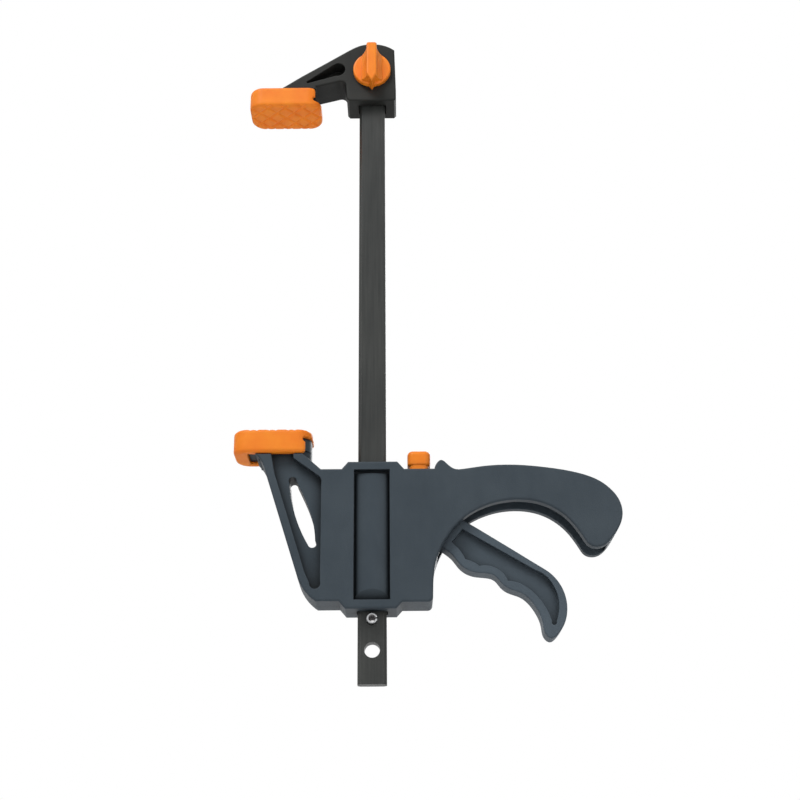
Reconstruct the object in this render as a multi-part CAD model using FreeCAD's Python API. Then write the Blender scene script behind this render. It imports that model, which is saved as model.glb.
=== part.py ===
import FreeCAD, Part
import math
import os

from FreeCAD import Vector

# Quick release bar clamp, in millimetres.
# X runs toward the handle, Y to the back and Z up along the bar.
# Pieces are drawn with the centre of the bar's lower end at zero and the carriage at the bottom of its travel.
# Then they all move together, to put the origin on the fixed pad's face, which holds the clamp on its work.

# Directions
X_AXIS = Vector(1, 0, 0)
Y_AXIS = Vector(0, 1, 0)
Z_AXIS = Vector(0, 0, 1)

# Fits and clearances
SEAT_GAP = 0.05
RUN_GAP = 0.05
SLIDE_GAP = 0.25
SIDE_GAP = 0.3
CONTACT_GAP = 0.2
OVERRUN = 1.0
TINY = 0.0001

# Bar
BAR_LENGTH = 192.0
BAR_WIDTH = 7.7
BAR_DEPTH = 4.0
BAR_BEVEL = 0.8
END_HOLE_RISE = 8.9
END_HOLE_RADIUS = 2.05
KNOB_EDGE = 6.55

# Stop pin, a slit steel tube through the bar below the carriage
STOP_DROP = 2.1
STOP_RADIUS = 1.45
STOP_BORE = 0.95
STOP_PROUD = 2.0
STOP_SLIT = 0.4
STOP_ROUND = 0.25

# Pads
PAD_LENGTH = 21.7
PAD_HEIGHT = 6.7
PAD_HALF = 6.9
PAD_WALL = 1.4
PAD_ROOF = 2.1
PAD_LIP = 1.0
PAD_LIP_REACH = 1.0
PAD_END = 4.0
PAD_CORNER = 4.2
PAD_RIM = 1.1
PAD_NOTCH = 1.8
PAD_BITE = 0.7
PAD_SHOULDER = 1.3
GROOVE_PITCH = 5.2
GROOVE_DEPTH = 0.55
GROOVE_ANGLE = 46.0

# Moving jaw and casing
BODY_BASE = 19.0
BODY_HEIGHT = 40.4
BODY_HALF = 6.2
HANDLE_REACH = 67.3
JAW_REACH = 38.1
CASING_EDGE = 0.6
CASING_CORNER = 1.3
HUMP_EDGE = 0.4
WEB_HALF = 3.8
FOOT_CORNER = 4.2
NECK_CORNER = 3.4
NECK_INSET = 0.9
NECK_DROP = 1.6

# Window with its barrel, on both faces of the casing
WINDOW_HALF = 4.85
BARREL_HALF = 4.6
WINDOW_RISE = 2.3
WINDOW_DROP = 2.3
BARREL_SINK = 0.7
BARREL_RISE = 1.3
BARREL_SLOPE = 3.0
BARREL_HEADROOM = 0.9

# Rooms inside the casing, stacked down from its deck
DECK_WALL = 1.7
BRAKE_HEADROOM = 4.0
BRAKE_FOOTROOM = 3.6
BRAKE_WELL_DEPTH = 0.8
DRIVE_HEADROOM = 2.7
WELL_RISE = 4.4

# Trigger
PIVOT_X = 16.0
PIVOT_DROP = 5.5
PIVOT_PIN_RADIUS = 1.5
PIVOT_PIN_HALF = 4.9
TRIGGER_REACH = 35.5
TRIGGER_DROP = 31.6
TRIGGER_HALF = 3.1
TRIGGER_WEB_HALF = 1.0
TRIGGER_EDGE = 0.4

# Drive plate
PLATE_THICK = 2.0
PLATE_HALF = 3.4
PLATE_LEFT = 7.4
PLATE_RIGHT = 11.2
PLATE_TRAVEL = 2.9
PLATE_SLOT_PLAY = 0.2
PLATE_CORNER = 0.8

# Brake lever
FULCRUM_X = -8.9
LEVER_THICK = 2.0
LEVER_END = 14.6
LEVER_TILT = 6.5
TONGUE_START = 9.3
TONGUE_HALF = 2.2

# Release button
BUTTON_X = 12.85
BUTTON_WIDTH = 6.3
BUTTON_STEM = 5.2
BUTTON_HALF = 3.2
BUTTON_PROUD = 6.2
BUTTON_CAP = 4.4
BUTTON_SKIRT = 0.9
BUTTON_CORNER = 1.6
BUTTON_ROUND = 1.3
BUTTON_UNDER_ROUND = 0.8
BUTTON_SWING = 0.7

# Springs
DRIVE_SPRING_X = 7.5
DRIVE_SPRING_RADIUS = 2.1
DRIVE_WIRE = 0.7
DRIVE_TURNS = 6
BRAKE_SPRING_X = 7.2
BRAKE_SPRING_RADIUS = 1.7
BRAKE_WIRE = 0.5
BRAKE_TURNS = 4

# Casing screws, driven from the back
SCREW_RADIUS = 1.2
SCREW_HEAD_RADIUS = 2.0
SCREW_HEAD = 1.4
SCREW_SINK = 0.5
SCREW_END = 4.2
SCREW_CROSS = 0.5
SCREW_BOSS = 2.9

# Fixed jaw
HEAD_HALF = 5.2
HEAD_RIGHT = 7.3
HEAD_REACH = 37.1
HEAD_RISE = 23.2
HEAD_CROWN = 3.5
HEAD_EDGE = 0.45
POCKET_WEB = 0.8
SOCKET_PLAY = 0.3

# Jaw knob
KNOB_RADIUS = 5.7
KNOB_DISC = 1.5
KNOB_FIN = 4.0
KNOB_FIN_WIDTH = 3.1
KNOB_FIN_LENGTH = 13.7
KNOB_SCOOP = 5.0
KNOB_SHAFT_RADIUS = 2.5
KNOB_ROUND = 0.5
LUG_REACH = 3.9
LUG_WIDTH = 2.2
LUG_THICK = 1.2
LUG_SINK = 0.4

# Heights and points that more than one piece follows, as shares of the casing and of the trigger
JAW_TOP_SHARE = 1.066
DECK_SHARE = 0.948
NOSE_SHARE = -0.08
HANDLE_CORNER_SHARE = (0.2385, 0.042)

# Outline of the casing. A row is one point for a line, two for an arc and more for a smooth curve.
# X is a share of the handle's reach on the right and of the jaw's reach on the left.
# Z is a share of the casing's height, from its base.
BODY_SHARES = (
    [(-0.837, JAW_TOP_SHARE)],
    [(-0.79, 1.01), (-0.763, 0.945)],
    [(-0.523, 0.23)],
    [(-0.474, 0.13), (-0.388, 0.05)],
    [(-0.23, 0.05)],
    [(-0.185, 0.0)],
    [(0.096, 0.0)],
    [(0.119, 0.042)],
    [HANDLE_CORNER_SHARE],
    [
        (0.241, 0.17), (0.25, 0.295), (0.271, 0.395), (0.3, 0.48), (0.355, 0.587), (0.456, 0.688),
        (0.568, 0.727), (0.692, 0.696), (0.78, 0.599), (0.842, 0.455),
        (0.86, 0.415), (0.9, 0.4), (0.962, 0.48), (1.0, 0.63), (0.99, 0.72), (0.962, 0.79), (0.92, 0.85),
        (0.83, 0.912), (0.7, 0.953), (0.57, 0.972), (0.44, 0.962), (0.352, 0.942), (0.253, DECK_SHARE),
    ],
    [(0.13, DECK_SHARE)],
    [(0.103, 1.0)],
    [(-0.17, 1.0)],
    [(-0.215, 0.95)],
    [(-0.364, 0.95)],
    [(-0.5, JAW_TOP_SHARE)],
)

# Small hump on the handle, which shields the button, in the same shares
HUMP_SHARES = (
    [(0.36, 0.9)],
    [(0.348, 0.942)],
    [(0.325, 0.952), (0.302, 0.985), (0.28, 1.008), (0.262, 0.985), (0.2535, 0.935)],
    [(0.2535, 0.9)],
)

# Hollow side of the moving jaw, in the same shares
RECESS_SHARES = (
    [(-0.73, 1.1)],
    [(-0.695, 0.925)],
    [(-0.465, 0.235)],
    [(-0.433, 0.17)],
    [(-0.397, 0.13), (-0.358, 0.18)],
    [(-0.358, 0.865)],
    [(-0.365, 0.889), (-0.385, 0.907)],
    [(-0.56, 1.03)],
    [(-0.56, 1.1)],
)

# Slot through the moving jaw, in the same shares
SLOT_SHARES = (
    [(-0.59, 0.87)],
    [(-0.568, 0.912), (-0.54, 0.885)],
    [(-0.49, 0.785), (-0.446, 0.685), (-0.414, 0.58), (-0.4, 0.47)],
    [(-0.418, 0.42), (-0.45, 0.44)],
    [(-0.515, 0.565), (-0.56, 0.695), (-0.585, 0.82), (-0.59, 0.87)],
)

# Open channel under the handle, in the same shares
CHANNEL_SHARES = (
    [(0.415, 0.52)],
    [(0.415, 0.88)],
    [(0.625, 0.915), (0.85, 0.845)],
    [(0.925, 0.77), (0.955, 0.63)],
    [(0.94, 0.48)],
    [(0.93, 0.32)],
    [(0.6, 0.32)],
)

# Room for the trigger's root, in the same shares
TRIGGER_ROOM_SHARES = (
    [(0.15, 0.42)],
    [(0.19, 0.42)],
    [(0.25, 0.36)],
    [(0.36, 0.27)],
    [(0.43, 0.42)],
    [(0.44, 0.73)],
    [(0.27, 0.72)],
    [(0.255, 0.685)],
    [(0.15, 0.685)],
)

# Casing screws, in the same shares
SCREW_SHARES = ((-0.287, 0.45), (0.193, 0.155), (0.32, 0.83), (0.892, 0.65))

# Trigger, in shares of its reach and drop from the pivot
TRIGGER_SHARES = (
    [(-0.085, NOSE_SHARE)],
    [(-0.19, NOSE_SHARE)],
    [(-0.24, -0.03), (-0.19, 0.022)],
    [
        (-0.1, 0.078), (0.01, 0.112), (0.12, 0.09), (0.2, 0.056), (0.28, 0.007), (0.45, -0.113),
        (0.63, -0.243), (0.81, -0.374), (0.885, -0.433), (0.965, -0.55), (1.0, -0.72), (0.982, -0.84),
        (0.93, -0.94), (0.87, -0.985), (0.83, -0.95), (0.812, -0.86), (0.755, -0.705), (0.665, -0.605),
        (0.565, -0.56), (0.52, -0.52), (0.47, -0.455), (0.4, -0.432), (0.315, -0.42), (0.25, -0.39),
        (0.2, -0.34), (0.16, -0.28), (0.1, -0.22), (0.02, -0.162), (-0.05, -0.115), (-0.085, NOSE_SHARE),
    ],
)

# Hollow sides of the trigger, in the same shares
TRIGGER_RECESS_SHARES = (
    [(0.235, -0.045)],
    [(0.78, -0.41)],
    [(0.865, -0.475), (0.915, -0.565), (0.94, -0.68), (0.93, -0.79), (0.915, -0.85)],
    [(0.895, -0.875), (0.88, -0.845)],
    [(0.85, -0.75), (0.79, -0.645), (0.7, -0.55), (0.61, -0.505), (0.565, -0.5)],
    [(0.52, -0.42), (0.45, -0.375), (0.355, -0.37)],
    [(0.31, -0.335), (0.25, -0.31)],
    [(0.22, -0.245), (0.17, -0.185)],
    [(0.15, -0.155)],
)

# Fixed jaw. X is a share of its right side or of its reach to the left,
# and Z a share of its rise above the clamping face.
HEAD_SHARES = (
    [(0.92, 0.12)],
    [(1.0, 0.147)],
    [(1.0, 0.27)],
    [(0.945, 0.9)],
    [
        (0.51, 0.975), (0.0, 1.0), (-0.1, 0.975), (-0.2, 0.89), (-0.4, 0.682), (-0.62, 0.453),
        (-0.8, 0.266), (-0.87, 0.198), (-0.905, 0.1),
    ],
    [(-0.44, 0.1)],
    [(-0.46, 0.335)],
    [(-0.27, 0.415)],
    [(-0.225, 0.395), (-0.213, 0.33)],
    [(-0.204, 0.15)],
    [(-0.186, 0.12)],
)

# Deep pocket in the fixed jaw's arm, in the same shares
POCKET_SHARES = (
    [(-0.54, 0.41)],
    [(-0.31, 0.68)],
    [(-0.235, 0.665), (-0.22, 0.585)],
    [(-0.24, 0.53), (-0.295, 0.5)],
    [(-0.53, 0.385)],
)

# Knob's fin, in shares of half its width and half its length
FIN_SHARES = (
    [(-1.0, 0.94)],
    [(-0.75, 1.0)],
    [(0.75, 1.0)],
    [(1.0, 0.94)],
    [(1.0, -0.64)],
    [(0.0, -1.0)],
    [(-1.0, -0.64)],
)

# Places that follow from the sizes above
STOP_RISE = BODY_BASE - STOP_DROP
JAW_TOP = BODY_BASE + JAW_TOP_SHARE * BODY_HEIGHT
MOVING_FACE = JAW_TOP + SEAT_GAP + PAD_HEIGHT
FIXED_FACE = BAR_LENGTH + HEAD_CROWN - HEAD_RISE
KNOB_RISE = BAR_LENGTH - KNOB_EDGE
FOOT_HALF = PAD_HALF - PAD_WALL - SEAT_GAP
LIP_HALF = FOOT_HALF - PAD_LIP_REACH
FOOT_THICK = PAD_HEIGHT - PAD_ROOF - PAD_LIP - SEAT_GAP

# The brake room hangs below the deck, the pivot below the brake room and the drive room around the plate
DECK = BODY_BASE + DECK_SHARE * BODY_HEIGHT
BRAKE_ROOF = DECK - DECK_WALL
FULCRUM_Z = BRAKE_ROOF - BRAKE_HEADROOM
BRAKE_FLOOR = FULCRUM_Z - BRAKE_FOOTROOM
BRAKE_WELL_FLOOR = BRAKE_FLOOR - BRAKE_WELL_DEPTH
PIVOT_Z = BRAKE_FLOOR - PIVOT_DROP
PLATE_TOP = PIVOT_Z + NOSE_SHARE * TRIGGER_DROP - CONTACT_GAP
PLATE_BASE = PLATE_TOP - PLATE_THICK
DRIVE_ROOF = PIVOT_Z + DRIVE_HEADROOM
DRIVE_FLOOR = PLATE_BASE - PLATE_TRAVEL - 2 * SIDE_GAP
WELL_FLOOR = BODY_BASE + WELL_RISE
ROOM_HALF = PLATE_HALF + SIDE_GAP
CHANNEL_HALF = TRIGGER_HALF + SIDE_GAP
BAR_SLOT_HALF = BAR_WIDTH / 2 + PLATE_SLOT_PLAY
BAR_SLOT_DEPTH = BAR_DEPTH / 2 + PLATE_SLOT_PLAY
LEVER_SLOPE = math.tan(math.radians(LEVER_TILT))
BUTTON_TOP = DECK + BUTTON_PROUD
BUTTON_CAP_BASE = BUTTON_TOP - BUTTON_CAP
WINDOW_BASE = BODY_BASE + WINDOW_RISE
WINDOW_TOP = BODY_BASE + BODY_HEIGHT - WINDOW_DROP

# The move that puts the origin on the fixed pad's face, in the diamond just right of its middle
HOME = Vector(HEAD_REACH - PAD_LENGTH / 2 - GROOVE_PITCH / 2, 0, -FIXED_FACE)


# Helpers

def on_body(share_x, share_z):
    reach = HANDLE_REACH if share_x > 0 else JAW_REACH
    return Vector(share_x * reach, 0, BODY_BASE + share_z * BODY_HEIGHT)


def on_trigger(share_x, share_z):
    return Vector(PIVOT_X + share_x * TRIGGER_REACH, 0, PIVOT_Z + share_z * TRIGGER_DROP)


def on_head(share_x, share_z):
    reach = HEAD_RIGHT if share_x > 0 else HEAD_REACH
    return Vector(share_x * reach, 0, FIXED_FACE + share_z * HEAD_RISE)


def on_fin(share_x, share_z):
    return Vector(share_x * KNOB_FIN_WIDTH / 2, 0, KNOB_RISE + share_z * KNOB_FIN_LENGTH / 2)


def smooth_spans(points):
    """One smooth curve through the points, as an edge for each of its spans."""
    curve = Part.BSplineCurve()
    curve.interpolate(points)
    spans = []
    knots = curve.getKnots()
    for first, last in zip(knots, knots[1:]):
        span = curve.copy()
        span.segment(first, last)
        spans.append(span.toShape())
    return spans


def slab(shares, place, low, high):
    """Extrude an outline from Y low to Y high."""
    start = place(*shares[0][0])
    here = start
    edges = []
    for row in shares[1:]:
        points = [place(*share) for share in row]
        if len(points) == 1:
            edges.append(Part.LineSegment(here, points[0]).toShape())
        elif len(points) == 2:
            edges.append(Part.Arc(here, points[0], points[1]).toShape())
        else:
            edges.extend(smooth_spans([here] + points))
        here = points[-1]
    if here.distanceToPoint(start) > TINY:
        edges.append(Part.LineSegment(here, start).toShape())
    face = Part.Face(Part.Wire(edges))
    face.translate(Vector(0, low, 0))
    return face.extrude(Vector(0, high - low, 0))


def block(x_low, x_high, y_low, y_high, z_low, z_high):
    return Part.makeBox(x_high - x_low, y_high - y_low, z_high - z_low, Vector(x_low, y_low, z_low))


def cross_rod(x, z, radius, low, high):
    """A cylinder along Y."""
    return Part.makeCylinder(radius, high - low, Vector(x, low, z), Y_AXIS)


def upright_rod(x, radius, low, high):
    """A cylinder along Z."""
    return Part.makeCylinder(radius, high - low, Vector(x, 0, low), Z_AXIS)


def upright_edges(shape):
    return [edge for edge in shape.Edges if runs_along(edge, Z_AXIS)]


def runs_along(edge, direction):
    first, last = edge.Vertexes[0].Point, edge.Vertexes[-1].Point
    run = last.sub(first)
    return run.Length > TINY and abs(abs(run.dot(direction)) - run.Length) < TINY


def level_distance(edge, place):
    """How far an edge along Y lies from a place, seen from the front."""
    point = edge.Vertexes[0].Point
    return math.hypot(point.x - place.x, point.z - place.z)


def rim_edges(shape, half):
    """The outline edges on the faces at Y minus half and Y plus half."""
    return [
        edge for edge in shape.Edges
        if all(abs(abs(vertex.Y) - half) < TINY for vertex in edge.Vertexes)
        and not runs_along(edge, Y_AXIS)
    ]


def level_edges(shape, level):
    """The edges that lie wholly at one height."""
    return [edge for edge in shape.Edges if all(abs(vertex.Z - level) < TINY for vertex in edge.Vertexes)
            and abs(edge.BoundBox.ZLength) < TINY]


def tangent_arc(start, corner, end):
    """The arc from start to end whose end tangents meet at corner, which is as far from both."""
    middle = (start + end) / 2
    toward = corner - middle
    half_chord = start.distanceToPoint(middle)
    bulge = half_chord * math.tan(math.atan2(toward.Length, half_chord) / 2)
    return Part.Arc(start, middle + toward * (bulge / toward.Length), end).toShape()


def joined_arcs(start, heading, end, arrival):
    """Two arcs that leave start along heading, reach end along arrival and meet smoothly between."""
    across = end - start
    squared = 2 * (1 - heading.dot(arrival))
    linear = 2 * across.dot(heading + arrival)
    reach = (math.sqrt(linear ** 2 + 4 * squared * across.dot(across)) - linear) / (2 * squared)
    first_corner = start + heading * reach
    last_corner = end - arrival * reach
    meeting = (first_corner + last_corner) / 2
    return [tangent_arc(start, first_corner, meeting), tangent_arc(meeting, last_corner, end)]


def coil(x, low, high, radius, wire, turns):
    """A spring that stands between two heights, one unbroken wire in quarter turns."""
    rise = high - low - wire - 2 * SEAT_GAP
    base = low + wire / 2 + SEAT_GAP
    places = []
    for quarter in range(4 * turns + 1):
        angle = math.radians(90 * quarter)
        across = Vector(math.cos(angle), math.sin(angle), 0)
        heading = Vector(-across.y * radius, across.x * radius, rise / turns / math.tau).normalize()
        place = Vector(x, 0, base + rise * quarter / (4 * turns)) + across * radius
        places.append((place, heading))
    edges = []
    for (start, heading), (end, arrival) in zip(places, places[1:]):
        edges.extend(joined_arcs(start, heading, end, arrival))
    section = Part.Wire(Part.makeCircle(wire / 2, *places[0]))
    return Part.Wire(edges).makePipeShell([section], True, False)


# Bar and stop pin

def bar():
    shape = block(-BAR_WIDTH / 2, BAR_WIDTH / 2, -BAR_DEPTH / 2, BAR_DEPTH / 2, 0, BAR_LENGTH)
    shape = shape.makeChamfer(BAR_BEVEL, upright_edges(shape))
    holes = (
        (END_HOLE_RISE, END_HOLE_RADIUS),
        (STOP_RISE, STOP_RADIUS + SEAT_GAP),
        (KNOB_RISE, KNOB_SHAFT_RADIUS + RUN_GAP),
    )
    for rise, radius in holes:
        shape = shape.cut(cross_rod(0, rise, radius, -BAR_DEPTH, BAR_DEPTH))
    return shape


def bar_stop_pin():
    half = BAR_DEPTH / 2 + STOP_PROUD
    shape = cross_rod(0, STOP_RISE, STOP_RADIUS, -half, half)
    shape = shape.makeFillet(STOP_ROUND, rim_edges(shape, half))
    shape = shape.cut(cross_rod(0, STOP_RISE, STOP_BORE, -half - OVERRUN, half + OVERRUN))
    slit = block(0, STOP_RADIUS + OVERRUN, -half - OVERRUN, half + OVERRUN,
                 STOP_RISE - STOP_SLIT / 2, STOP_RISE + STOP_SLIT / 2)
    return shape.cut(slit)


# Pads and the feet that hold them

def pad_blank():
    """A pad with its outer end at X zero and its clamping face down at Z zero."""
    shape = block(0, PAD_LENGTH, -PAD_HALF, PAD_HALF, 0, PAD_HEIGHT)
    shape = shape.makeFillet(PAD_CORNER, upright_edges(shape))
    shape = shape.makeFillet(PAD_RIM, level_edges(shape, 0) + level_edges(shape, PAD_HEIGHT))
    inner = FOOT_HALF + SEAT_GAP
    room = block(PAD_END, PAD_LENGTH + OVERRUN, -inner, inner, PAD_ROOF, PAD_HEIGHT - PAD_LIP)
    mouth = block(PAD_END, PAD_LENGTH + OVERRUN, -LIP_HALF - SEAT_GAP, LIP_HALF + SEAT_GAP,
                  PAD_ROOF, PAD_HEIGHT + OVERRUN)
    notch = block(PAD_LENGTH - PAD_NOTCH, PAD_LENGTH + OVERRUN, -PAD_HALF - OVERRUN, PAD_HALF + OVERRUN,
                  PAD_ROOF, PAD_HEIGHT + OVERRUN)
    bite = cross_rod(PAD_LENGTH - PAD_NOTCH, PAD_ROOF + PAD_BITE, PAD_BITE,
                     -PAD_HALF - OVERRUN, PAD_HALF + OVERRUN)
    shoulder_x = PAD_LENGTH - PAD_NOTCH - PAD_SHOULDER
    shoulder_z = PAD_HEIGHT - PAD_SHOULDER
    shoulder = block(shoulder_x, PAD_LENGTH, -PAD_HALF - OVERRUN, PAD_HALF + OVERRUN,
                     shoulder_z, PAD_HEIGHT + OVERRUN)
    shoulder = shoulder.cut(cross_rod(shoulder_x, shoulder_z, PAD_SHOULDER,
                                      -PAD_HALF - 2 * OVERRUN, PAD_HALF + 2 * OVERRUN))
    return shape.cut([room, mouth, notch, bite, shoulder])


def grooves():
    """Crossing grooves that cut the clamping face into diamonds."""
    side = GROOVE_DEPTH * math.sqrt(2)
    reach = PAD_LENGTH + 2 * PAD_HALF
    count = math.ceil(reach / GROOVE_PITCH)
    cutters = []
    for step in range(-count, count + 1):
        for turn in (-GROOVE_ANGLE, GROOVE_ANGLE):
            cutter = Part.makeBox(2 * reach, side, side, Vector(-reach, -side / 2, -side / 2))
            cutter.rotate(Vector(), X_AXIS, 45)
            cutter.rotate(Vector(), Z_AXIS, turn)
            cutter.translate(Vector(PAD_LENGTH / 2 + step * GROOVE_PITCH, 0, 0))
            cutters.append(cutter)
    return cutters


def pad(outer_end, face, faces_up):
    shape = pad_blank().cut(grooves())
    if faces_up:
        shape = shape.mirror(Vector(), Z_AXIS)
    shape.translate(Vector(outer_end, 0, face))
    return shape


def foot():
    """The flat head that the moving pad slides on, with a narrower neck down into the jaw."""
    left = -JAW_REACH + PAD_END + SEAT_GAP
    right = -JAW_REACH + PAD_LENGTH - SIDE_GAP
    top = MOVING_FACE - PAD_ROOF - SEAT_GAP
    waist = top - FOOT_THICK
    head = block(left, right, -FOOT_HALF, FOOT_HALF, waist, top)
    head = head.makeFillet(FOOT_CORNER, [
        edge for edge in upright_edges(head) if edge.Vertexes[0].X > right - TINY
    ])
    arm_left = on_body(*BODY_SHARES[0][0]).x
    neck = block(arm_left + NECK_INSET, right, -LIP_HALF, LIP_HALF, JAW_TOP - NECK_DROP, waist)
    neck = neck.makeFillet(NECK_CORNER, [
        edge for edge in upright_edges(neck) if edge.Vertexes[0].X > right - TINY
    ])
    return head.fuse(neck)


# Casing, made whole and then split at its parting plane

def barrel_window(side):
    """What a window removes from one face, leaving the sunk barrel standing."""
    face = side * BODY_HALF
    crown = BODY_HALF - BARREL_SINK
    depth = BARREL_SINK + BARREL_RISE
    floor = face - side * depth
    low, high = sorted((floor, face + side * OVERRUN))
    hollow = block(-WINDOW_HALF, WINDOW_HALF, low, high, WINDOW_BASE, WINDOW_TOP)
    rim = Part.Ellipse(Vector(0, side * (crown - BARREL_RISE), WINDOW_BASE), BARREL_HALF, BARREL_RISE)
    barrel = Part.Face(Part.Wire(rim.toShape())).extrude(Vector(0, 0, WINDOW_TOP - WINDOW_BASE))
    edge = face + side * OVERRUN
    drop = BARREL_SLOPE * (depth + OVERRUN) / BARREL_RISE
    wedge = Part.Face(Part.makePolygon([
        Vector(-WINDOW_HALF, floor, WINDOW_BASE),
        Vector(-WINDOW_HALF, edge, WINDOW_BASE),
        Vector(-WINDOW_HALF, edge, WINDOW_BASE + drop),
        Vector(-WINDOW_HALF, floor, WINDOW_BASE),
    ])).extrude(Vector(2 * WINDOW_HALF, 0, 0))
    lid = block(-WINDOW_HALF, WINDOW_HALF, low, high, WINDOW_TOP - BARREL_HEADROOM, WINDOW_TOP)
    return hollow.cut(barrel.cut(wedge).cut(lid))


def rooms():
    """Everything hollow inside the casing."""
    bar_x = BAR_WIDTH / 2 + SLIDE_GAP
    bar_y = BAR_DEPTH / 2 + SLIDE_GAP
    pocket = LEVER_THICK / 2 + SEAT_GAP
    channel = slab(CHANNEL_SHARES, on_body, -CHANNEL_HALF, CHANNEL_HALF)
    nose_screw = on_body(*SCREW_SHARES[-1])
    channel = channel.cut(cross_rod(nose_screw.x, nose_screw.z, SCREW_BOSS, -BODY_HALF, BODY_HALF))
    button_left = BUTTON_X - BUTTON_WIDTH / 2 - SIDE_GAP
    button_right = BUTTON_X + BUTTON_WIDTH / 2 + SIDE_GAP + BUTTON_SWING
    return [
        block(-bar_x, bar_x, -bar_y, bar_y, BODY_BASE - OVERRUN, BODY_BASE + BODY_HEIGHT + OVERRUN),
        block(-PLATE_LEFT - SIDE_GAP, PLATE_RIGHT + SIDE_GAP, -ROOM_HALF, ROOM_HALF, DRIVE_FLOOR, DRIVE_ROOF),
        upright_rod(DRIVE_SPRING_X, DRIVE_SPRING_RADIUS + DRIVE_WIRE / 2 + SIDE_GAP, WELL_FLOOR, DRIVE_FLOOR + TINY),
        block(FULCRUM_X + pocket, button_right, -ROOM_HALF, ROOM_HALF, BRAKE_FLOOR, BRAKE_ROOF),
        block(FULCRUM_X - pocket, FULCRUM_X + 2 * pocket, -ROOM_HALF, ROOM_HALF,
              FULCRUM_Z - pocket - CONTACT_GAP, FULCRUM_Z + pocket + CONTACT_GAP),
        upright_rod(BRAKE_SPRING_X, BRAKE_SPRING_RADIUS + BRAKE_WIRE / 2 + SIDE_GAP,
                    BRAKE_WELL_FLOOR, BRAKE_FLOOR + TINY),
        block(button_left, button_right, -BUTTON_HALF - SIDE_GAP, BUTTON_HALF + SIDE_GAP,
              BRAKE_ROOF - TINY, BODY_BASE + BODY_HEIGHT),
        slab(TRIGGER_ROOM_SHARES, on_body, -TRIGGER_HALF - SIDE_GAP, TRIGGER_HALF + SIDE_GAP),
        cross_rod(PIVOT_X, PIVOT_Z, PIVOT_PIN_RADIUS + SEAT_GAP,
                  -PIVOT_PIN_HALF - SEAT_GAP, PIVOT_PIN_HALF + SEAT_GAP),
        channel,
    ]


def casing():
    shape = slab(BODY_SHARES, on_body, -BODY_HALF, BODY_HALF)
    corner = on_body(*HANDLE_CORNER_SHARE)
    shape = shape.makeFillet(CASING_CORNER, [
        edge for edge in shape.Edges if runs_along(edge, Y_AXIS) and level_distance(edge, corner) < TINY
    ])
    shape = shape.makeFillet(CASING_EDGE, rim_edges(shape, BODY_HALF))
    hump = slab(HUMP_SHARES, on_body, -BODY_HALF, BODY_HALF)
    hump = hump.makeFillet(HUMP_EDGE, rim_edges(hump, BODY_HALF))
    shape = shape.fuse([hump, foot()])
    for side in (-1, 1):
        low, high = sorted((side * WEB_HALF, side * (BODY_HALF + OVERRUN)))
        below_pad = block(-JAW_REACH, 0, low, high, BODY_BASE, JAW_TOP)
        shape = shape.cut(slab(RECESS_SHARES, on_body, low, high).common(below_pad))
        shape = shape.cut(barrel_window(side))
    shape = shape.cut(slab(SLOT_SHARES, on_body, -BODY_HALF, BODY_HALF))
    return shape.cut(rooms())


def half_of(shape, side):
    """The part of the casing on one side of the parting plane."""
    low, high = sorted((0, side * (BODY_HALF + OVERRUN)))
    keep = block(-JAW_REACH - OVERRUN, HANDLE_REACH + OVERRUN, low, high,
                 BODY_BASE - OVERRUN, MOVING_FACE + OVERRUN)
    return shape.common(keep)


def body_front_shell(whole):
    shape = half_of(whole, -1)
    for share in SCREW_SHARES:
        place = on_body(*share)
        shape = shape.cut(cross_rod(place.x, place.z, SCREW_RADIUS + SEAT_GAP, -SCREW_END - SEAT_GAP, OVERRUN))
    return shape


def body_rear_shell(whole):
    shape = half_of(whole, 1)
    seat = BODY_HALF - SCREW_SINK - SCREW_HEAD
    for share in SCREW_SHARES:
        place = on_body(*share)
        shape = shape.cut(cross_rod(place.x, place.z, SCREW_RADIUS + SEAT_GAP, -OVERRUN, BODY_HALF))
        shape = shape.cut(cross_rod(place.x, place.z, SCREW_HEAD_RADIUS + SEAT_GAP, seat, BODY_HALF + OVERRUN))
    return shape


def shell_screws():
    seat = BODY_HALF - SCREW_SINK - SCREW_HEAD
    top = seat + SCREW_HEAD
    screws = []
    for share in SCREW_SHARES:
        place = on_body(*share)
        screw = cross_rod(place.x, place.z, SCREW_HEAD_RADIUS, seat, top)
        screw = screw.makeFillet(SCREW_HEAD / 3, [
            edge for edge in screw.Edges if edge.BoundBox.YMin > top - TINY
        ])
        screw = screw.fuse(cross_rod(place.x, place.z, SCREW_RADIUS, -SCREW_END, seat))
        reach = SCREW_RADIUS
        for half_x, half_z in ((reach, SCREW_CROSS / 2), (SCREW_CROSS / 2, reach)):
            screw = screw.cut(block(place.x - half_x, place.x + half_x, top - SCREW_HEAD / 2, top + OVERRUN,
                                    place.z - half_z, place.z + half_z))
        screws.append(screw)
    return Part.makeCompound(screws)


# Trigger and drive

def trigger():
    shape = slab(TRIGGER_SHARES, on_trigger, -TRIGGER_HALF, TRIGGER_HALF)
    shape = shape.makeFillet(TRIGGER_EDGE, rim_edges(shape, TRIGGER_HALF))
    for side in (-1, 1):
        low, high = sorted((side * TRIGGER_WEB_HALF, side * (TRIGGER_HALF + OVERRUN)))
        shape = shape.cut(slab(TRIGGER_RECESS_SHARES, on_trigger, low, high))
    return shape.cut(cross_rod(PIVOT_X, PIVOT_Z, PIVOT_PIN_RADIUS + RUN_GAP, -BODY_HALF, BODY_HALF))


def trigger_pivot_pin():
    return cross_rod(PIVOT_X, PIVOT_Z, PIVOT_PIN_RADIUS, -PIVOT_PIN_HALF, PIVOT_PIN_HALF)


def bar_slot(low, high):
    return block(-BAR_SLOT_HALF, BAR_SLOT_HALF, -BAR_SLOT_DEPTH, BAR_SLOT_DEPTH, low - OVERRUN, high + OVERRUN)


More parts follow.
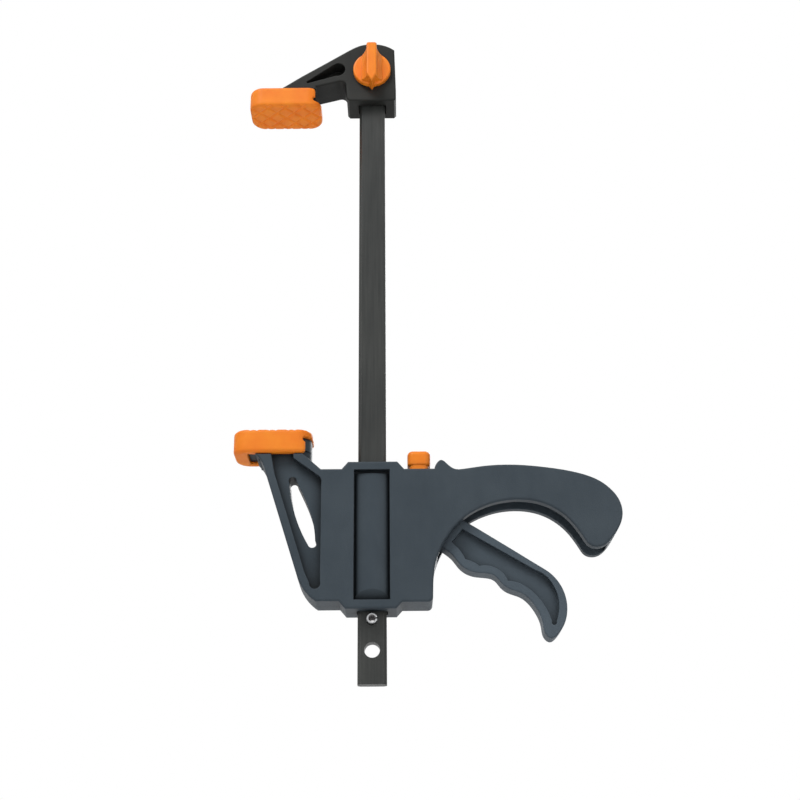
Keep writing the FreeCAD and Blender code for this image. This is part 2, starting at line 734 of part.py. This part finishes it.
def drive_plate():
    shape = block(-PLATE_LEFT, PLATE_RIGHT, -PLATE_HALF, PLATE_HALF, PLATE_BASE, PLATE_TOP)
    shape = shape.makeFillet(PLATE_CORNER, upright_edges(shape))
    return shape.cut(bar_slot(PLATE_BASE, PLATE_TOP))


def drive_spring():
    return coil(DRIVE_SPRING_X, WELL_FLOOR, PLATE_BASE, DRIVE_SPRING_RADIUS, DRIVE_WIRE, DRIVE_TURNS)


# Brake and its release

def tilted(shape):
    """Turn a piece drawn level at the fulcrum to the lever's tilt at rest."""
    shape.rotate(Vector(FULCRUM_X, 0, FULCRUM_Z), Y_AXIS, -LEVER_TILT)
    return shape


def lever_reach(x):
    """The distance along the tilted lever from its fulcrum to a place above x."""
    return FULCRUM_X + (x - FULCRUM_X) / math.cos(math.radians(LEVER_TILT))


def brake_lever():
    low, high = FULCRUM_Z - LEVER_THICK / 2, FULCRUM_Z + LEVER_THICK / 2
    plate = block(FULCRUM_X, lever_reach(TONGUE_START), -PLATE_HALF, PLATE_HALF, low, high)
    tongue = block(lever_reach(TONGUE_START), lever_reach(LEVER_END), -TONGUE_HALF, TONGUE_HALF, low, high)
    heel = cross_rod(FULCRUM_X, FULCRUM_Z, LEVER_THICK / 2, -PLATE_HALF, PLATE_HALF)
    slot = bar_slot(low, high)
    slot.translate(Vector(lever_reach(0), 0, 0))
    return tilted(plate.fuse([tongue, heel]).cut(slot))


def release_button():
    low = FULCRUM_Z + (LEVER_END - FULCRUM_X) * LEVER_SLOPE - LEVER_THICK / 2 - BUTTON_SKIRT
    stem = block(BUTTON_X - BUTTON_STEM / 2, BUTTON_X + BUTTON_STEM / 2, -BUTTON_HALF + SIDE_GAP,
                 BUTTON_HALF - SIDE_GAP, low, BUTTON_TOP - BUTTON_ROUND - OVERRUN)
    stem = stem.makeFillet(BUTTON_CORNER - SIDE_GAP, upright_edges(stem))
    cap = block(BUTTON_X - BUTTON_WIDTH / 2, BUTTON_X + BUTTON_WIDTH / 2, -BUTTON_HALF, BUTTON_HALF,
                BUTTON_CAP_BASE, BUTTON_TOP)
    cap = cap.makeFillet(BUTTON_CORNER, upright_edges(cap))
    cap = cap.makeFillet(BUTTON_ROUND, level_edges(cap, BUTTON_TOP))
    cap = cap.makeFillet(BUTTON_UNDER_ROUND, level_edges(cap, BUTTON_CAP_BASE))
    half = LEVER_THICK / 2 + SEAT_GAP
    slot = tilted(block(FULCRUM_X, lever_reach(LEVER_END) + SEAT_GAP, -TONGUE_HALF - SEAT_GAP,
                        TONGUE_HALF + SEAT_GAP, FULCRUM_Z - half, FULCRUM_Z + half))
    return cap.fuse(stem).cut(slot)


def brake_spring():
    under = FULCRUM_Z + (BRAKE_SPRING_X - BRAKE_SPRING_RADIUS - FULCRUM_X) * LEVER_SLOPE - LEVER_THICK / 2
    return coil(BRAKE_SPRING_X, BRAKE_WELL_FLOOR, under - SEAT_GAP, BRAKE_SPRING_RADIUS, BRAKE_WIRE, BRAKE_TURNS)


# Fixed jaw and its knob

def lug_seat():
    """The Y of the floor of the round well that the knob's lugs turn in."""
    return HEAD_HALF - LUG_SINK - LUG_THICK


def pad_room(side):
    """The space that one side of the fixed pad takes from the arm that it slides on."""
    left = -HEAD_REACH - OVERRUN
    right = -HEAD_REACH + PAD_LENGTH + SEAT_GAP
    top = FIXED_FACE + PAD_HEIGHT + SIDE_GAP
    lip_base = FIXED_FACE + PAD_HEIGHT - PAD_LIP - SEAT_GAP
    outside = side * (HEAD_HALF + OVERRUN)
    inner, outer = sorted((side * LIP_HALF, outside))
    wall_inner, wall_outer = sorted((side * FOOT_HALF, outside))
    return [
        block(left, right - PAD_NOTCH, inner, outer, lip_base, top),
        block(left, right, wall_inner, wall_outer, FIXED_FACE, top),
        block(left, -HEAD_REACH + PAD_END, *sorted((0, outside)), FIXED_FACE, top),
        block(left, right, *sorted((0, outside)), FIXED_FACE - OVERRUN, FIXED_FACE + PAD_ROOF + SEAT_GAP),
    ]


def fixed_jaw():
    shape = slab(HEAD_SHARES, on_head, -HEAD_HALF, HEAD_HALF)
    shape = shape.makeFillet(HEAD_EDGE, rim_edges(shape, HEAD_HALF))
    for side in (-1, 1):
        low, high = sorted((side * POCKET_WEB, side * (HEAD_HALF + OVERRUN)))
        shape = shape.cut(slab(POCKET_SHARES, on_head, low, high))
        shape = shape.cut(pad_room(side))
    half_x = BAR_WIDTH / 2 + SOCKET_PLAY
    half_y = BAR_DEPTH / 2 + SOCKET_PLAY
    shape = shape.cut(block(-half_x, half_x, -half_y, half_y, FIXED_FACE, BAR_LENGTH + SEAT_GAP))
    shape = shape.cut(cross_rod(0, KNOB_RISE, KNOB_SHAFT_RADIUS + RUN_GAP, -HEAD_HALF - OVERRUN, HEAD_HALF))
    well = cross_rod(0, KNOB_RISE, LUG_REACH + SIDE_GAP, lug_seat(), HEAD_HALF + OVERRUN)
    keyway = block(-LUG_REACH - SIDE_GAP, LUG_REACH + SIDE_GAP, -HEAD_HALF - OVERRUN, HEAD_HALF,
                   KNOB_RISE - LUG_WIDTH / 2 - SIDE_GAP, KNOB_RISE + LUG_WIDTH / 2 + SIDE_GAP)
    return shape.cut([well, keyway])


def jaw_knob():
    back = -HEAD_HALF - RUN_GAP
    disc_front = back - KNOB_DISC
    front = disc_front - KNOB_FIN
    disc = cross_rod(0, KNOB_RISE, KNOB_RADIUS, disc_front, back)
    disc = disc.makeFillet(KNOB_ROUND, [edge for edge in disc.Edges if edge.BoundBox.YMax < disc_front + TINY])
    boss = cross_rod(0, KNOB_RISE, KNOB_RADIUS - KNOB_ROUND, front, disc_front)
    for side in (-1, 1):
        scoop_x = side * (KNOB_FIN_WIDTH / 2 + KNOB_SCOOP)
        boss = boss.cut(Part.makeCylinder(KNOB_SCOOP, 2 * KNOB_FIN_LENGTH,
                                          Vector(scoop_x, front, KNOB_RISE - KNOB_FIN_LENGTH)))
    fin = slab(FIN_SHARES, on_fin, front, back)
    fin = fin.makeFillet(KNOB_ROUND, [edge for edge in fin.Edges if edge.BoundBox.YMax < front + TINY])
    middle = block(-KNOB_FIN_WIDTH, KNOB_FIN_WIDTH, front + KNOB_ROUND, disc_front,
                   KNOB_RISE - KNOB_RADIUS, KNOB_RISE + KNOB_RADIUS)
    shaft_end = lug_seat() + RUN_GAP + LUG_THICK
    shaft = cross_rod(0, KNOB_RISE, KNOB_SHAFT_RADIUS, back, shaft_end)
    lugs = block(-LUG_WIDTH / 2, LUG_WIDTH / 2, lug_seat() + RUN_GAP, shaft_end,
                 KNOB_RISE - LUG_REACH, KNOB_RISE + LUG_REACH)
    lugs = lugs.common(cross_rod(0, KNOB_RISE, LUG_REACH, back, shaft_end))
    return disc.fuse([boss.common(middle), fin, shaft, lugs])


def main():
    os.makedirs("parts", exist_ok=True)
    whole = casing()
    pieces = {
        "bar": bar(),
        "bar_stop_pin": bar_stop_pin(),
        "fixed_jaw": fixed_jaw(),
        "fixed_jaw_pad": pad(-HEAD_REACH, FIXED_FACE, False),
        "jaw_knob": jaw_knob(),
        "body_front_shell": body_front_shell(whole),
        "body_rear_shell": body_rear_shell(whole),
        "shell_screws": shell_screws(),
        "moving_jaw_pad": pad(-JAW_REACH, MOVING_FACE, True),
        "trigger": trigger(),
        "trigger_pivot_pin": trigger_pivot_pin(),
        "drive_plate": drive_plate(),
        "drive_spring": drive_spring(),
        "brake_lever": brake_lever(),
        "brake_spring": brake_spring(),
        "release_button": release_button(),
    }
    for name, shape in pieces.items():
        shape.translate(HOME)
        shape.exportStep("parts/" + name + ".step")
        print(name, len(shape.Solids), shape.isValid(), round(shape.Volume, 1))


main()
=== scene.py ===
import math

import bpy
from mathutils import Matrix, Vector


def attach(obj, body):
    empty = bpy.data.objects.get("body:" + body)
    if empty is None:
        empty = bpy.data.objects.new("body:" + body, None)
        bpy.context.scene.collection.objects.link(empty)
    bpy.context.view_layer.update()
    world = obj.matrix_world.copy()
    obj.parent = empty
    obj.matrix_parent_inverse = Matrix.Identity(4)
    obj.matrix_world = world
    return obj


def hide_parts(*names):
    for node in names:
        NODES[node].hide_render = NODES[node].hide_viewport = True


# Quick release bar clamp, dressed in metres in the same frame as its solids.

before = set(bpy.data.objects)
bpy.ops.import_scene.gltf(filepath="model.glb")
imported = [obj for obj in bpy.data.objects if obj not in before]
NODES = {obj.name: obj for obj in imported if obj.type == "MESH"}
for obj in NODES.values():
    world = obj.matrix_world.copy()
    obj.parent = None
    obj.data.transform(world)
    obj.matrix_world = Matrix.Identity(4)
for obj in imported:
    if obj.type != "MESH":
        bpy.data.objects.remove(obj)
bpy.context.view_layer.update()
MM = 0.001

# Camera, fitted to the bar's straight edges: it stands low in front and looks up
PHOTO_WIDTH = 800
FOCAL_PIXELS = 1342.2
SENSOR_MM = 36.0
CAMERA_PLACE = Vector((31.45, -352.8, -228.2)) * MM
CAMERA_TILT = math.radians(21.0)
CAMERA_ROLL = math.radians(-0.45)
NEAR_CLIP = 10 * MM

# Stage
FLOOR_RISE = -234.3 * MM
FLOOR_REACH = 1.6
FLOOR_COLOUR = (0.86, 0.86, 0.86)
FLOOR_PALER = 1.04
FLOOR_PATCH = 60 * MM
FLOOR_ROUGHNESS = 0.8
SKY_LIGHT = 0.22

# Lamps: name, place from the point they aim at, size and power in watts
AIM = Vector((0.034, 0, -0.072))
LAMPS = (
    ("key_lamp", Vector((-0.42, -0.62, 0.9)), 0.4, 8.8),
    ("fill_lamp", Vector((0.5, -0.8, 0.1)), 0.6, 1.8),
    ("low_lamp", Vector((0.0, -0.7, -0.25)), 0.3, 0.5),
    ("back_lamp", Vector((0.3, 0.9, 0.4)), 0.6, 4.0),
)

# Finishes, as plain colours
SLATE = (0.044, 0.058, 0.071)
SLATE_LIGHT = (0.056, 0.072, 0.086)
TRIGGER_SLATE = (0.066, 0.086, 0.105)
TRIGGER_SLATE_LIGHT = (0.082, 0.105, 0.126)
JAW_GREY = (0.016, 0.017, 0.016)
JAW_GREY_LIGHT = (0.026, 0.027, 0.025)
ORANGE = (0.95, 0.27, 0.018)
ORANGE_DEEP = (0.88, 0.20, 0.012)
BAR_BLACK = (0.018, 0.020, 0.019)
BAR_WORN = (0.038, 0.040, 0.037)
STEEL = (0.56, 0.57, 0.58)
STEEL_DARK = (0.33, 0.33, 0.34)
STEEL_WORN = (0.75, 0.75, 0.75)
# Painted shade: the dull grey given to the inside of the stop pin's bore, standing in for the shade in it
BORE_SHADE_GREY = (0.5, 0.49, 0.49)

# Edges: how far the bevelled normal turns from the face's own where an edge starts and is full
EDGE_SAMPLES = 6
EDGE_TURN = (0.98, 0.75)

# The part of a noise's range that grain and marks are spread over
GRAIN_RANGE = (0.3, 0.7)

# Painted shade in hollows and corners, where faces stand close: how open a point has to be for the
# painted shade to start and to end, and what is left of the colour in full shade
HOLLOW_SAMPLES = 8
HOLLOW_REACH = 4 * MM
HOLLOW_RANGE = (0.4, 0.95)
BODY_HOLLOW_SHADE = 0.25
TRIGGER_HOLLOW_SHADE = 0.5
JAW_HOLLOW_SHADE = 0.6

# Moulded plastic: cloudy flow marks, scuffed edges and fine grain
PLASTIC_EDGE = 0.35 * MM
CLOUD_SIZE = 14 * MM
FLOW_SIZE = 3 * MM
FLOW_STRETCH = (1, 1, 0.35)
FLOW_SHARE = 0.4
PLASTIC_PATCH = (0.45, 0.95)
RUBBED_GAIN = 1.9
RUBBED_LIFT = 0.02
SCUFF_SIZE = 1.1 * MM
SCUFF_RANGE = (0.35, 0.8)
SCUFF_WEAR = (0.15, 0.75)
PLASTIC_GRAIN = 0.25 * MM
PLASTIC_GRAIN_DEPTH = 0.03 * MM
PLASTIC_ROUGHNESS = (0.37, 0.55)
PLASTIC_SHINE = 0.14

# Orange plastic and rubber: clouds, paler edges, grain and the little light that gets in
ORANGE_EDGE = 0.3 * MM
ORANGE_CLOUD = 6 * MM
ORANGE_PATCH = (0.35, 0.75)
PALE_GAIN = 1.15
PALE_LIFT = 0.04
PALE_SHARE = 0.5
ORANGE_GRAIN = 0.3 * MM
ORANGE_SPREAD = (-0.05, 0.1)
ORANGE_SHINE = 0.28
GLOW_WEIGHT = 0.12
GLOW_COLOURS = (1.0, 0.4, 0.1)
GLOW_REACH = 0.8 * MM
KNOB_ROUGHNESS = 0.38
KNOB_GRAIN_DEPTH = 0.01 * MM
PAD_ROUGHNESS = 0.52
PAD_GRAIN_DEPTH = 0.02 * MM

# Blackened bar: marks drawn along its length, blotches, and edges rubbed lighter
BAR_EDGE = 0.2 * MM
DRAWN_SIZE = 0.35 * MM
DRAWN_STRETCH = (1, 1, 0.02)
DRAWN_SHARE = 0.5
DRAWN_DEPTH = 0.01 * MM
BLOTCH_SIZE = 9 * MM
BLOTCH_STRETCH = (1, 1, 0.4)
BAR_PATCH = (0.55, 1.05)
BAR_RUB_RANGE = (0.4, 0.7)
BAR_RUB_WEAR = (0.1, 0.6)
BAR_ROUGHNESS = (0.3, 0.46)
BAR_SHINE = 0.35

# Bare steel: fine marks, stretched along one direction
STEEL_EDGE = 0.15 * MM
MARK_SIZE = 0.2 * MM
MARK_PATCH = (0.3, 0.75)
MARK_DEPTH = 0.008 * MM
STEEL_SPREAD = (-0.06, 0.1)
STEEL_WORN_SHARE = 0.4
PIN_ROUGHNESS = 0.25
PIN_STRETCH = (1, 0.05, 1)
PLATE_ROUGHNESS = 0.4
PLATE_STRETCH = (1, 1, 0.1)
WIRE_ROUGHNESS = 0.3
WIRE_STRETCH = (1, 1, 1)
STOP_BORE_RADIUS = 0.95 * MM
BORE_EDGE = (1.02, 1.1)

# Pads: size of the cells that their soft skin is rebuilt from, and how it is smoothed
PAD_CELL = 0.2 * MM
PAD_SMOOTHING = 2
PAD_SOFTNESS = 0.5


# Materials

def start_material(name):
    """An empty node material with its shader, and the shared object coordinates."""
    material = bpy.data.materials.new(name)
    material.use_nodes = True
    tree = material.node_tree
    shader = tree.nodes["Principled BSDF"]
    place = tree.nodes.new("ShaderNodeTexCoord").outputs["Object"]
    return material, tree, shader, place


def noise(tree, place, size, detail=3.0, roughness=0.5, stretch=(1, 1, 1)):
    """Noise with cells of a size in metres, stretched along the axes."""
    mapping = tree.nodes.new("ShaderNodeMapping")
    mapping.inputs["Scale"].default_value = stretch
    tree.links.new(place, mapping.inputs["Vector"])
    node = tree.nodes.new("ShaderNodeTexNoise")
    node.inputs["Scale"].default_value = 1 / size
    node.inputs["Detail"].default_value = detail
    node.inputs["Roughness"].default_value = roughness
    tree.links.new(mapping.outputs["Vector"], node.inputs["Vector"])
    return node.outputs["Fac"]


def ramp(tree, value, low, high, start=0.0, end=1.0):
    """Spread a value from low to high over start to end."""
    node = tree.nodes.new("ShaderNodeMapRange")
    node.inputs["From Min"].default_value = low
    node.inputs["From Max"].default_value = high
    node.inputs["To Min"].default_value = start
    node.inputs["To Max"].default_value = end
    tree.links.new(value, node.inputs["Value"])
    return node.outputs["Result"]


def blend_colours(tree, amount, first, second):
    """Mix two colours, each a tuple or a socket."""
    node = tree.nodes.new("ShaderNodeMix")
    node.data_type = "RGBA"
    tree.links.new(amount, node.inputs["Factor"])
    for slot_name, colour in (("A", first), ("B", second)):
        socket = next(s for s in node.inputs if s.name == slot_name and s.type == "RGBA")
        if isinstance(colour, tuple):
            socket.default_value = (*colour, 1)
        else:
            tree.links.new(colour, socket)
    return next(s for s in node.outputs if s.type == "RGBA")


def maths(tree, operation, first, second):
    """One sum on sockets or numbers."""
    node = tree.nodes.new("ShaderNodeMath")
    node.operation = operation
    for socket, value in zip(node.inputs, (first, second)):
        if isinstance(value, (int, float)):
            socket.default_value = value
        else:
            tree.links.new(value, socket)
    return node.outputs["Value"]


def lighter(colour, gain, lift):
    """A colour made brighter, channel by channel, and never more than white."""
    return tuple(min(1, channel * gain + lift) for channel in colour)


def soft_edges(tree, radius):
    """A normal that rounds the edges, and how close a point lies to an edge."""
    bevel = tree.nodes.new("ShaderNodeBevel")
    bevel.samples = EDGE_SAMPLES
    bevel.inputs["Radius"].default_value = radius
    face = tree.nodes.new("ShaderNodeNewGeometry")
    dot = tree.nodes.new("ShaderNodeVectorMath")
    dot.operation = "DOT_PRODUCT"
    tree.links.new(bevel.outputs["Normal"], dot.inputs[0])
    tree.links.new(face.outputs["Normal"], dot.inputs[1])
    return bevel.outputs["Normal"], ramp(tree, dot.outputs["Value"], *EDGE_TURN)


def paint_hollow_shade(tree, colour, depth):
    """Paint shade into a colour where other faces stand close, darkening corners and hollows as shade
    falls there.
    """
    near = tree.nodes.new("ShaderNodeAmbientOcclusion")
    near.samples = HOLLOW_SAMPLES
    near.inputs["Distance"].default_value = HOLLOW_REACH
    open_air = ramp(tree, near.outputs["AO"], *HOLLOW_RANGE, depth, 1.0)
    shade = tree.nodes.new("ShaderNodeVectorMath")
    shade.operation = "SCALE"
    tree.links.new(colour, shade.inputs[0])
    tree.links.new(open_air, shade.inputs["Scale"])
    return shade.outputs["Vector"]


def finish_surface(tree, shader, colour, marks, roughness, depth, normal):
    """Give a shader its colour, and roughness and relief that follow the same marks."""
    tree.links.new(colour, shader.inputs["Base Color"])
    tree.links.new(ramp(tree, marks, *GRAIN_RANGE, *roughness), shader.inputs["Roughness"])
    relief = tree.nodes.new("ShaderNodeBump")
    relief.inputs["Strength"].default_value = 1.0
    relief.inputs["Distance"].default_value = depth
    tree.links.new(marks, relief.inputs["Height"])
    tree.links.new(normal, relief.inputs["Normal"])
    tree.links.new(relief.outputs["Normal"], shader.inputs["Normal"])


def moulded_plastic(name, dark, light, hollow_shade):
    """Dyed plastic with spark-eroded grain, cloudy flow marks, edges rubbed lighter and painted shade in
    its hollows.
    """
    material, tree, shader, place = start_material(name)
    rounded, edge = soft_edges(tree, PLASTIC_EDGE)
    clouds = noise(tree, place, CLOUD_SIZE, detail=4)
    flow = noise(tree, place, FLOW_SIZE, detail=3, stretch=FLOW_STRETCH)
    marks = maths(tree, "ADD", clouds, maths(tree, "MULTIPLY", flow, FLOW_SHARE))
    colour = blend_colours(tree, ramp(tree, marks, *PLASTIC_PATCH), dark, light)
    scuffs = noise(tree, place, SCUFF_SIZE, detail=5, roughness=0.7)
    worn = maths(tree, "MULTIPLY", edge, ramp(tree, scuffs, *SCUFF_RANGE, *SCUFF_WEAR))
    colour = blend_colours(tree, worn, colour, lighter(light, RUBBED_GAIN, RUBBED_LIFT))
    # painted shade: the colour is darkened in corners and hollows, where shade falls
    colour = paint_hollow_shade(tree, colour, hollow_shade)
    grains = noise(tree, place, PLASTIC_GRAIN, detail=2)
    finish_surface(tree, shader, colour, grains, PLASTIC_ROUGHNESS, PLASTIC_GRAIN_DEPTH, rounded)
    shader.inputs["Specular IOR Level"].default_value = PLASTIC_SHINE
    return material


def orange_moulding(name, gloss, grain_depth):
    """Bright dyed plastic or rubber that lets a little light in, in two shades of orange."""
    material, tree, shader, place = start_material(name)
    rounded, edge = soft_edges(tree, ORANGE_EDGE)
    clouds = noise(tree, place, ORANGE_CLOUD, detail=4)
    colour = blend_colours(tree, ramp(tree, clouds, *ORANGE_PATCH), ORANGE, ORANGE_DEEP)
    pale_edge = maths(tree, "MULTIPLY", edge, PALE_SHARE)
    colour = blend_colours(tree, pale_edge, colour, lighter(ORANGE, PALE_GAIN, PALE_LIFT))
    grains = noise(tree, place, ORANGE_GRAIN, detail=3)
    roughness = [gloss + change for change in ORANGE_SPREAD]
    finish_surface(tree, shader, colour, grains, roughness, grain_depth, rounded)
    shader.inputs["Specular IOR Level"].default_value = ORANGE_SHINE
    shader.inputs["Subsurface Weight"].default_value = GLOW_WEIGHT
    shader.inputs["Subsurface Radius"].default_value = GLOW_COLOURS
    shader.inputs["Subsurface Scale"].default_value = GLOW_REACH
    return material


def blackened_steel():
    """Blackened bar stock: drawn marks along its length, rubbed lighter on the edges."""
    material, tree, shader, place = start_material("blackened_steel")
    rounded, edge = soft_edges(tree, BAR_EDGE)
    drawn = noise(tree, place, DRAWN_SIZE, detail=4, stretch=DRAWN_STRETCH)
    blotch = noise(tree, place, BLOTCH_SIZE, detail=5, stretch=BLOTCH_STRETCH)
    marks = maths(tree, "ADD", maths(tree, "MULTIPLY", drawn, DRAWN_SHARE), blotch)
    colour = blend_colours(tree, ramp(tree, marks, *BAR_PATCH), BAR_BLACK, BAR_WORN)
    rubbed = maths(tree, "MULTIPLY", edge, ramp(tree, drawn, *BAR_RUB_RANGE, *BAR_RUB_WEAR))
    colour = blend_colours(tree, rubbed, colour, STEEL_DARK)
    finish_surface(tree, shader, colour, drawn, BAR_ROUGHNESS, DRAWN_DEPTH, rounded)
    shader.inputs["Specular IOR Level"].default_value = BAR_SHINE
    return material


def outside_bore(tree, place, centre, radius):
    """Zero within a radius round an axis that runs front to back, and one beyond it."""
    away = place
    for operation, vector in (("SUBTRACT", centre), ("MULTIPLY", (1, 0, 1)), ("LENGTH", None)):
        node = tree.nodes.new("ShaderNodeVectorMath")
        node.operation = operation
        tree.links.new(away, node.inputs[0])
        if vector:
            node.inputs[1].default_value = vector
        away = node.outputs["Value" if operation == "LENGTH" else "Vector"]
    return ramp(tree, away, *(radius * share for share in BORE_EDGE))


def bare_steel(name, colour, dark, gloss, stretch, bore=None):
    """Plain steel with fine marks along one direction; a bore, if it has one, is painted dull grey with
    no metal or shine, as painted shade inside it.
    """
    material, tree, shader, place = start_material(name)
    rounded, edge = soft_edges(tree, STEEL_EDGE)
    marks = noise(tree, place, MARK_SIZE, detail=4, stretch=stretch)
    tint = blend_colours(tree, ramp(tree, marks, *MARK_PATCH), colour, dark)
    tint = blend_colours(tree, maths(tree, "MULTIPLY", edge, STEEL_WORN_SHARE), tint, STEEL_WORN)
    shader.inputs["Metallic"].default_value = 1
    if bore:
        # painted shade: inside the bore the steel turns dull grey with no metal or shine, standing in for
        # the shade in the hollow pin
        solid = outside_bore(tree, place, *bore)
        tint = blend_colours(tree, solid, BORE_SHADE_GREY, tint)
        tree.links.new(solid, shader.inputs["Metallic"])
        shader.inputs["Specular IOR Level"].default_value = 0
    roughness = [gloss + change for change in STEEL_SPREAD]
    finish_surface(tree, shader, tint, marks, roughness, MARK_DEPTH, rounded)
    return material


def dress(node, material):
    """Give every slot of a solid one material."""
    slots = NODES[node].material_slots
    if not slots:
        NODES[node].data.materials.append(material)
    for entry in slots:
        entry.material = material


def dress_solids():
    corners = [Vector(corner) for corner in NODES["bar_stop_pin"].bound_box]
    stop_bore = (sum(corners, Vector()) / len(corners), STOP_BORE_RADIUS)
    body = moulded_plastic("body_plastic_grain", SLATE, SLATE_LIGHT, BODY_HOLLOW_SHADE)
    trigger = moulded_plastic("trigger_plastic_grain", TRIGGER_SLATE, TRIGGER_SLATE_LIGHT, TRIGGER_HOLLOW_SHADE)
    jaw = moulded_plastic("jaw_plastic_grain", JAW_GREY, JAW_GREY_LIGHT, JAW_HOLLOW_SHADE)
    knob = orange_moulding("orange_moulding", KNOB_ROUGHNESS, KNOB_GRAIN_DEPTH)
    pin = bare_steel("bright_pin_steel", STEEL, STEEL_DARK, PIN_ROUGHNESS, PIN_STRETCH)
    tube = bare_steel("slit_tube_steel", STEEL, STEEL_DARK, PIN_ROUGHNESS, PIN_STRETCH, stop_bore)
    plate = bare_steel("stamped_plate_steel", STEEL_DARK, STEEL, PLATE_ROUGHNESS, PLATE_STRETCH)
    wire = bare_steel("spring_wire_steel", STEEL, STEEL_DARK, WIRE_ROUGHNESS, WIRE_STRETCH)
    finishes = {
        body: ("body_front_shell", "body_rear_shell"),
        trigger: ("trigger",),
        jaw: ("fixed_jaw",),
        knob: ("jaw_knob", "release_button"),
        blackened_steel(): ("bar",),
        tube: ("bar_stop_pin",),
        pin: ("shell_screws", "trigger_pivot_pin"),
        plate: ("drive_plate", "brake_lever"),
        wire: ("drive_spring", "brake_spring"),
    }
    for material, names in finishes.items():
        for name in names:
            dress(name, material)


# Soft pads

def soft_pad(node, body, material):
    """A pad's solid, rebuilt as one soft skin with all its edges rounded off."""
    pad = bpy.data.objects.new(node + "_skin", NODES[node].data.copy())
    bpy.context.scene.collection.objects.link(pad)
    remesh = pad.modifiers.new("skin", "REMESH")
    remesh.mode = "VOXEL"
    remesh.voxel_size = PAD_CELL
    remesh.use_smooth_shade = True
    smooth = pad.modifiers.new("soften", "SMOOTH")
    smooth.factor = PAD_SOFTNESS
    smooth.iterations = PAD_SMOOTHING
    settled = bpy.data.meshes.new_from_object(pad.evaluated_get(bpy.context.evaluated_depsgraph_get()))
    pad.modifiers.clear()
    pad.data = settled
    settled.materials.clear()
    settled.materials.append(material)
    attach(pad, body)
    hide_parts(node)


def make_pads():
    rubber = orange_moulding("pad_rubber_orange", PAD_ROUGHNESS, PAD_GRAIN_DEPTH)
    soft_pad("fixed_jaw_pad", "clamp_bar", rubber)
    soft_pad("moving_jaw_pad", "carriage", rubber)


# Stage, lamps and camera

def make_camera():
    camera = bpy.data.objects.new("camera", bpy.data.cameras.new("camera"))
    bpy.context.scene.collection.objects.link(camera)
    camera.data.sensor_fit = "HORIZONTAL"
    camera.data.sensor_width = SENSOR_MM
    camera.data.lens = FOCAL_PIXELS * SENSOR_MM / PHOTO_WIDTH
    camera.data.clip_start = NEAR_CLIP
    ahead = Vector((0, math.cos(CAMERA_TILT), math.sin(CAMERA_TILT)))
    level_across = Vector((1, 0, 0))
    level_up = Vector((0, -math.sin(CAMERA_TILT), math.cos(CAMERA_TILT)))
    across = level_across * math.cos(CAMERA_ROLL) + level_up * math.sin(CAMERA_ROLL)
    up = level_up * math.cos(CAMERA_ROLL) - level_across * math.sin(CAMERA_ROLL)
    turn = Matrix((across, up, -ahead)).transposed().to_4x4()
    camera.matrix_world = Matrix.Translation(CAMERA_PLACE) @ turn
    bpy.context.scene.camera = camera


def make_lamps():
    for name, place, size, power in LAMPS:
        lamp = bpy.data.lights.new(name, "AREA")
        lamp.size = size
        lamp.energy = power
        holder = bpy.data.objects.new(name, lamp)
        bpy.context.scene.collection.objects.link(holder)
        holder.location = AIM + place
        holder.rotation_euler = (-place).to_track_quat("-Z", "Y").to_euler()


def make_sky():
    """Soft even light, shown as plain white behind the object and in what it reflects."""
    world = bpy.data.worlds.new("sky")
    bpy.context.scene.world = world
    world.use_nodes = True
    tree = world.node_tree
    sky = tree.nodes["Background"]
    sky.inputs["Color"].default_value = (1, 1, 1, 1)
    path = tree.nodes.new("ShaderNodeLightPath")
    seen = maths(tree, "MAXIMUM", path.outputs["Is Camera Ray"], path.outputs["Is Glossy Ray"])
    seen = maths(tree, "MAXIMUM", seen, path.outputs["Is Transmission Ray"])
    tree.links.new(ramp(tree, seen, 0.0, 1.0, SKY_LIGHT, 1.0), sky.inputs["Strength"])


def make_floor():
    """A pale floor that lies lower than the camera stands."""
    square = ((-1, -1), (1, -1), (1, 1), (-1, 1))
    corners = [(x * FLOOR_REACH, y * FLOOR_REACH, FLOOR_RISE) for x, y in square]
    mesh = bpy.data.meshes.new("floor")
    mesh.from_pydata(corners, [], [(0, 1, 2, 3)])
    floor = bpy.data.objects.new("floor", mesh)
    bpy.context.scene.collection.objects.link(floor)
    material, tree, shader, place = start_material("pale_floor")
    tone = noise(tree, place, FLOOR_PATCH, detail=3)
    colour = blend_colours(tree, tone, FLOOR_COLOUR, lighter(FLOOR_COLOUR, FLOOR_PALER, 0))
    tree.links.new(colour, shader.inputs["Base Color"])
    shader.inputs["Roughness"].default_value = FLOOR_ROUGHNESS
    mesh.materials.append(material)


def main():
    bpy.context.scene.view_settings.view_transform = "Standard"
    make_camera()
    make_sky()
    make_lamps()
    make_floor()
    dress_solids()
    make_pads()


main()
